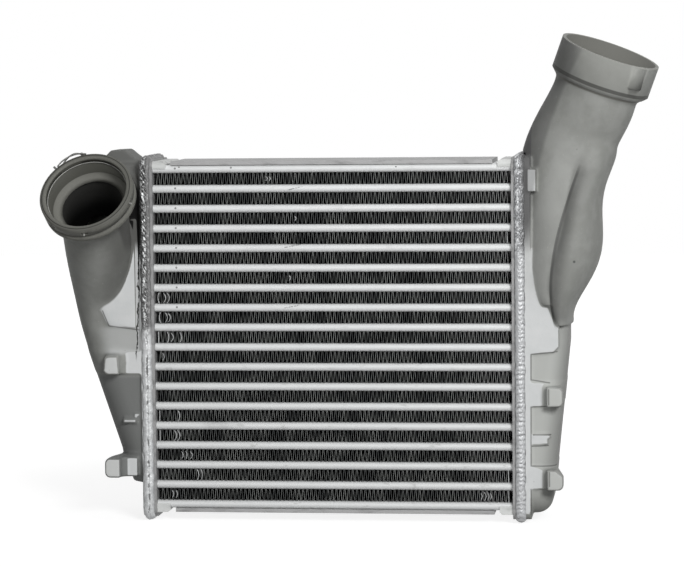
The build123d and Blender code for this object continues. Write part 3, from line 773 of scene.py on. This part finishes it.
def casting(side, place, cut, radius, soft):
    """Tank with a sand casting's soft edges, but for the ring above the cut."""
    mesh = welded_up(nodes[f"{side}_tank"].data)
    crisp = mesh.copy()
    made = softened(f"{side}_casting", mesh, soft)
    along, away = spread(made.data, place)
    body = kept(made.data, ~((along > cut) & (away < radius)))
    joined = bmesh.new()
    joined.from_mesh(body)
    joined.from_mesh(crisp_ring(crisp, place, cut, radius))
    joined.to_mesh(body)
    joined.free()
    made.data = body
    body.shade_smooth()
    body.set_sharp_from_angle(angle=math.radians(CAST_SHARP))
    return made


def left_soft(points):
    """Where the left duct runs out into the tank."""
    x, z = points[:, 0], points[:, 2]
    rise = np.clip((z - 0.112) / 0.02, 0, 1) * np.clip((0.190 - z) / 0.02, 0, 1)
    return rise * np.clip((-0.158 - x) / 0.01, 0, 1)


def right_soft(points):
    """Where the right tank's outer lobe starts from the duct."""
    x, z = points[:, 0], points[:, 2]
    start = np.clip((z - 0.262) / 0.015, 0, 1) * np.clip((0.330 - z) / 0.01, 0, 1)
    return start * np.clip((x - 0.17) / 0.01, 0, 1)


def perimeter(step):
    """Points (y, z) round the header's rounded outline, each with its outward normal."""
    low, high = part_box("left_header_plate")
    half, bottom, top, corner = high.y, low.z, high.z, HEADER_CORNER
    points = []
    legs = (
        ((-half, top - corner), (-half, bottom + corner), (-1, 0)),
        ((-half + corner, bottom), (half - corner, bottom), (0, -1)),
        ((half, bottom + corner), (half, top - corner), (1, 0)),
        ((half - corner, top), (-half + corner, top), (0, 1)),
    )
    hubs = (
        (-half + corner, bottom + corner),
        (half - corner, bottom + corner),
        (half - corner, top - corner),
        (-half + corner, top - corner),
    )
    for (start, end, normal), hub in zip(legs, hubs):
        count = max(2, round(math.dist(start, end) / step))
        for index in range(count):
            share = index / count
            y = start[0] + share * (end[0] - start[0])
            z = start[1] + share * (end[1] - start[1])
            points.append((y, z, normal))
        first = math.atan2(normal[1], normal[0])
        arc_count = max(2, round(corner * math.pi / 2 / step))
        for index in range(arc_count):
            turn = first + math.pi / 2 * index / arc_count
            out = (math.cos(turn), math.sin(turn))
            points.append((hub[0] + corner * out[0], hub[1] + corner * out[1], out))
    return points


def part_way(value, low, high):
    """How far a value is from low to high, kept between 0 and 1."""
    return min(1, max(0, (value - low) / (high - low)))


def bell(value, middle, width):
    """1 at the middle, falling smoothly to 0 beside it."""
    return math.exp(-(((value - middle) / width) ** 2))


def left_ripple(share, z, rough, rope):
    """Change of the left bead's height: ropey above, with a shallow seam below."""
    upper = part_way(z, *LEFT_ROPE)
    wander = noise.noise(Vector((0, 0, z / 0.009)))
    seam = bell(share, 0.45 + 0.1 * wander, 0.07)
    change = upper * (0.18 * rough + 0.40 * rope) + (1 - upper) * (0.12 * rough - 0.12 * seam)
    return change - upper * 0.10 * bell(share, 0.2, 0.08)


def right_ripple(share, z, rough, rope, distance):
    """Change of the right bead's height: ropey above, with stacked coins below."""
    upper = part_way(z, *RIGHT_ROPE)
    off = share - 0.55
    wander = noise.noise(Vector((0, 0, distance / 0.012)))
    phase = distance / COIN_PITCH + 1.1 * off * off / 0.09 + 1.2 * wander
    coin = 0.7 * (phase % 1.0) * max(0, 1 - (off / 0.42) ** 2)
    ropey = upper * (0.14 * rough + 0.30 * rope)
    return (1 - upper) * (0.22 * coin - 0.12) - 0.06 + 0.08 * rough + ropey


def uneven(amount, sway, side, turn, place):
    """A share of the bead's width left bare at one edge, wandering as it goes round."""
    return max(0, amount * (1 + sway * noise.noise(Vector((side, turn, place)))))


def weld(word, side):
    """Bead laid round the header's edge, with the ripples of its puddles."""
    low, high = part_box(f"{word}_weld_bead")
    width = high.x - low.x
    inner = low.x if side > 0 else high.x
    tall = high.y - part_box("left_header_plate")[1].y
    loop = perimeter(bead_step)
    lanes = round(width / bead_step)
    verts, faces = [], []
    distance = 0.0
    for index, (y, z, normal) in enumerate(loop):
        distance += math.dist((y, z), loop[index - 1][:2])
        inset = uneven(0.045, 1.6, side, 0, distance / 0.006)
        outset = uneven(0.05, 1.8, side, 5, distance / 0.007)
        for lane in range(lanes + 1):
            share = lane / lanes
            x = inner + side * width * (inset + share * (1 - inset - outset))
            rise = min(1.0, math.sin(math.pi * share) ** 0.5 * 1.02)
            here = Vector((x, y, z)) / BEAD_GRAIN
            rough = noise.noise(here) * 0.5 + noise.noise(here * 2.3) * 0.25
            slanted = (x - side * 0.6 * z) / BEAD_GRAIN
            rope = noise.noise(Vector((slanted, y / 0.004, z / 0.0042)))
            if side < 0:
                change = left_ripple(share, z, rough, rope)
            else:
                change = right_ripple(share, z, rough, rope, distance)
            height = tall * min(0.995, max(0.04, rise * (0.86 + change)))
            verts.append((x, y + normal[0] * height, z + normal[1] * height))
    row = lanes + 1
    for index in range(len(loop)):
        after = (index + 1) % len(loop)
        for lane in range(lanes):
            a, b = index * row + lane, after * row + lane
            face = (a, a + 1, b + 1, b)
            faces.append(face if side < 0 else face[::-1])
    return shaped(f"{word}_weld", verts, faces)


def smooth_path(points, parts=8):
    """Points of a smooth curve through a few, each stretch cut into parts."""
    path = [Vector(p) for p in points]
    fine = []
    for index in range(len(path) - 1):
        p0, p1 = path[max(index - 1, 0)], path[index]
        p2, p3 = path[index + 1], path[min(index + 2, len(path) - 1)]
        for part in range(parts):
            t = part / parts
            square = (2 * p0 - 5 * p1 + 4 * p2 - p3) * t * t
            cube = (3 * p1 - p0 - 3 * p2 + p3) * t ** 3
            fine.append(0.5 * (2 * p1 + (p2 - p0) * t + square + cube))
    fine.append(path[-1])
    return fine


def wire(name, stops, radius):
    """Round wire about the socket's axis, through stops of (turn, radius, along)."""
    fine = smooth_path([rim_point(*stop) for stop in stops])
    verts, faces = [], []
    for index, point in enumerate(fine):
        ahead = (fine[min(index + 1, len(fine) - 1)] - fine[max(index - 1, 0)]).normalized()
        across = ahead.cross(Vector((0.3, 0.2, 1))).normalized()
        other = ahead.cross(across)
        for turn in range(WIRE_SIDES):
            angle = 2 * math.pi * turn / WIRE_SIDES
            verts.append(point + radius * (math.cos(angle) * across + math.sin(angle) * other))
    for index in range(len(fine) - 1):
        for turn in range(WIRE_SIDES):
            a, b = index * WIRE_SIDES + turn, index * WIRE_SIDES + (turn + 1) % WIRE_SIDES
            faces.append((a, b, b + WIRE_SIDES, a + WIRE_SIDES))
    faces.append(tuple(range(WIRE_SIDES))[::-1])
    end = (len(fine) - 1) * WIRE_SIDES
    faces.append(tuple(range(end, end + WIRE_SIDES)))
    return shaped(name, verts, faces)


def rim_point(turn, radius, along):
    """Point on a circle about the socket's axis; turn 0 is its level direction."""
    centre, axis = SOCKET
    tilt = math.radians(SOCKET_TILT)
    level = Vector((math.cos(tilt), 0, -math.sin(tilt)))
    other = axis.cross(level)
    angle = math.radians(turn)
    return centre + axis * along + radius * (math.cos(angle) * level + math.sin(angle) * other)


def bent_fins():
    """Fin legs that were pushed out of line: each a curled ribbon on the core's face."""
    bends = (                       # gap from the top, x, share of the gap's height, bulge to +X
        (1, -0.0510, 0.35, 0.0014), (1, -0.0485, 0.35, 0.0012), (3, -0.0285, 0.35, 0.0010),
        (7, -0.1365, 0.9, -0.0010), (7, -0.1330, 0.8, 0.0016), (7, -0.1305, 0.9, 0.0020),
        (8, -0.1355, 0.9, -0.0012), (8, -0.1320, 0.8, 0.0018), (8, -0.1295, 0.7, 0.0016),
        (9, -0.1375, 0.95, 0.0000), (9, -0.1305, 0.9, 0.0012), (9, -0.1275, 0.7, 0.0018),
        (9, -0.1205, 0.8, 0.0014), (10, -0.1345, 0.6, 0.0012), (13, -0.1375, 0.95, 0.0000),
        (13, -0.1230, 0.9, 0.0014), (14, -0.1375, 0.95, 0.0000), (14, -0.1265, 0.9, 0.0022),
        (14, -0.1235, 0.9, 0.0018), (15, -0.1205, 0.6, 0.0012), (15, -0.1173, 0.7, 0.0010),
        (15, -0.1135, 0.6, 0.0014), (16, -0.1085, 0.9, 0.0014), (16, -0.1055, 0.9, 0.0012),
        (17, -0.1285, 0.6, 0.0012), (17, -0.1255, 0.6, 0.0012), (16, 0.1365, 0.95, 0.0000),
        (17, 0.1365, 0.95, 0.0000), (4, 0.1365, 0.95, 0.0000), (17, 0.1150, 0.5, 0.0010),
        (17, 0.1175, 0.7, 0.0014), (17, 0.1200, 0.6, 0.0012), (17, 0.1222, 0.5, 0.0010),
        (6, -0.0335, 0.4, 0.0010),
    )
    steps, half_sheet = 8, 0.16 * MM
    verts, faces = [], []
    for gap, x, share, bulge in bends:
        low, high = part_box(f"fin_row_{TUBE_ROWS - gap:02d}")
        middle = (low.z + high.z) / 2
        half = share * (high.z - low.z) / 2
        front, back = low.y - 0.6 * MM, low.y + 3 * MM
        first = len(verts)
        for index in range(steps + 1):
            t = 2 * index / steps - 1
            here = x + bulge * (1 - t * t)
            left, right = here - half_sheet, here + half_sheet
            z = middle + t * half
            verts += [(left, front, z), (right, front, z), (right, back, z), (left, back, z)]
        for index in range(steps):
            for turn in range(4):
                a, b = first + 4 * index + turn, first + 4 * index + (turn + 1) % 4
                faces.append((a, b, b + 4, a + 4))
        faces.append((first + 3, first + 2, first + 1, first))
        end = first + 4 * steps
        faces.append((end, end + 1, end + 2, end + 3))
    return shaped("bent_fins", verts, faces, smooth=False)


def floor():
    """White ground under the part."""
    half, z = 3.0, cad_box[0][2]
    ends = [(-half, -half, z), (half, -half, z), (half, half, z), (-half, half, z)]
    ground = shaped("floor", ends, [(0, 1, 2, 3)])
    ground.data.materials.append(floor_paint())


# --- light and camera -------------------------------------------------------------------
def lamp(name, place, aim_height, size, power):
    """Rectangular lamp turned to a point above the middle of the floor."""
    light = bpy.data.lights.new(name, "AREA")
    light.shape = "RECTANGLE"
    light.size, light.size_y = size
    light.energy = power
    made = bpy.data.objects.new(name, light)
    made.location = place
    aim = Vector((0, 0, aim_height)) - Vector(place)
    made.rotation_euler = aim.to_track_quat("-Z", "Y").to_euler()
    bpy.context.scene.collection.objects.link(made)


def surroundings():
    """Sky that is seen white but lights the part only faintly."""
    world = bpy.data.worlds.new("studio")
    bpy.context.scene.world = world
    world.use_nodes = True
    tree = world.node_tree
    tree.nodes.clear()
    path = tree.nodes.new("ShaderNodeLightPath")
    seen = path.outputs[SEEN_RAYS[0]]
    for kind in SEEN_RAYS[1:]:
        either = tree.nodes.new("ShaderNodeMath")
        either.operation = "MAXIMUM"
        tree.links.new(seen, either.inputs[0])
        tree.links.new(path.outputs[kind], either.inputs[1])
        seen = either.outputs["Value"]
    level = tree.nodes.new("ShaderNodeMapRange")
    level.inputs["To Min"].default_value = 0.09
    level.inputs["To Max"].default_value = 1.0
    tree.links.new(seen, level.inputs["Value"])
    sky = tree.nodes.new("ShaderNodeBackground")
    sky.inputs["Color"].default_value = (1, 1, 1, 1)
    tree.links.new(level.outputs["Result"], sky.inputs["Strength"])
    out = tree.nodes.new("ShaderNodeOutputWorld")
    tree.links.new(sky.outputs["Background"], out.inputs["Surface"])


def photo_camera():
    """Long lens, a little right of and above the core, tipped by half a degree."""
    yaw, pitch, roll = (math.radians(angle) for angle in CAMERA_TURN)
    flat = math.cos(pitch)
    ahead = Vector((-math.sin(yaw) * flat, math.cos(yaw) * flat, -math.sin(pitch)))
    right = Vector((math.cos(yaw), math.sin(yaw), 0))
    up = right.cross(ahead)
    tipped_right = math.cos(roll) * right + math.sin(roll) * up
    tipped_up = math.cos(roll) * up - math.sin(roll) * right
    camera = bpy.data.cameras.new("camera")
    camera.sensor_width = 36
    camera.lens = PHOTO_FOCUS / PHOTO_WIDTH * camera.sensor_width
    camera.clip_end = 20
    made = bpy.data.objects.new("camera", camera)
    turn = Matrix((tipped_right, tipped_up, -ahead)).transposed()
    made.matrix_world = Matrix.Translation(CAMERA_PLACE) @ turn.to_4x4()
    bpy.context.scene.collection.objects.link(made)
    bpy.context.scene.camera = made


# --- scene ------------------------------------------------------------------------------
finishes = {
    "core_tube": tube_metal(),
    "fin": fin_metal(),
    "side_plate": plate_metal("side_plate_metal", (0.38, 0.38, 0.38), (0.25, 0.25, 0.25)),
    "header_plate": plate_metal("header_metal", (0.30, 0.30, 0.30), (0.20, 0.20, 0.20)),
    "weld": weld_metal(),
    "cast_tank": cast_metal(),
    "spring_wire": wire_metal(),
}
block_finish = plate_metal("block_metal", (0.62, 0.63, 0.62), (0.44, 0.45, 0.44))
record_slots = {s["node"]: s["material_slot"] for s in frame["record"]["subparts"]}
for name, node in nodes.items():
    node.data.materials.clear()
    block = name.endswith("corner_block")
    node.data.materials.append(block_finish if block else finishes[record_slots[name]])

for row in range(1, TUBE_ROWS):
    dressed(fin_strip(row), finishes["fin"], "fin", f"fin_row_{row:02d}")

left = casting("left", SOCKET, cut=-0.0232, radius=0.0385, soft=left_soft)
dressed(left, finishes["cast_tank"], "cast_tank", "left_tank")
right = casting("right", COLLAR, cut=-0.0265, radius=0.0420, soft=right_soft)
dressed(right, finishes["cast_tank"], "cast_tank", "right_tank")

for word, side in (("left", -1), ("right", 1)):
    dressed(weld(word, side), finishes["weld"], "weld", f"{word}_weld_bead")

dressed(bent_fins(), plate_metal("bright_fin", (0.60, 0.61, 0.61), (0.40, 0.41, 0.41)), "fin")

outer_loop = (
    (124, 0.0360, -0.0048), (118, 0.0384, -0.0030), (109, 0.0402, -0.0015),
    (101, 0.0400, -0.0010), (93, 0.0380, -0.0030), (87, 0.0352, -0.0046),
)
inner_loop = (
    (128, 0.0362, 0.0003), (119, 0.0374, 0.0008), (109, 0.0379, 0.0010),
    (99, 0.0376, 0.0008), (89, 0.0362, 0.0003),
)
dressed(wire("clip_loop_outer", outer_loop, LOOP_WIRE), finishes["spring_wire"], "spring_wire")
dressed(wire("clip_loop_inner", inner_loop, LOOP_WIRE), finishes["spring_wire"], "spring_wire")
# Brighter copy of the clip wire: painted highlights on its inner arc and glints on its ends.
bright = plate_metal("wire_painted_highlight", (0.38, 0.38, 0.36), (0.24, 0.24, 0.23))
inner_edge = [(turn, 0.0313, -0.0046) for turn in range(-10, 231, 12)]
dressed(wire("clip_inner_edge", inner_edge, EDGE_WIRE), bright, "spring_wire")
for index, turn in enumerate((266, 337)):
    stub = [(turn, reach, -0.0052) for reach in (0.0345, 0.0362, 0.0378)]
    dressed(wire(f"clip_stub_{index + 1}", stub, STUB_WIRE), bright, "spring_wire")

floor()
surroundings()
for settings in LAMPS:
    lamp(*settings)
photo_camera()
bpy.context.scene.view_settings.view_transform = "Standard"
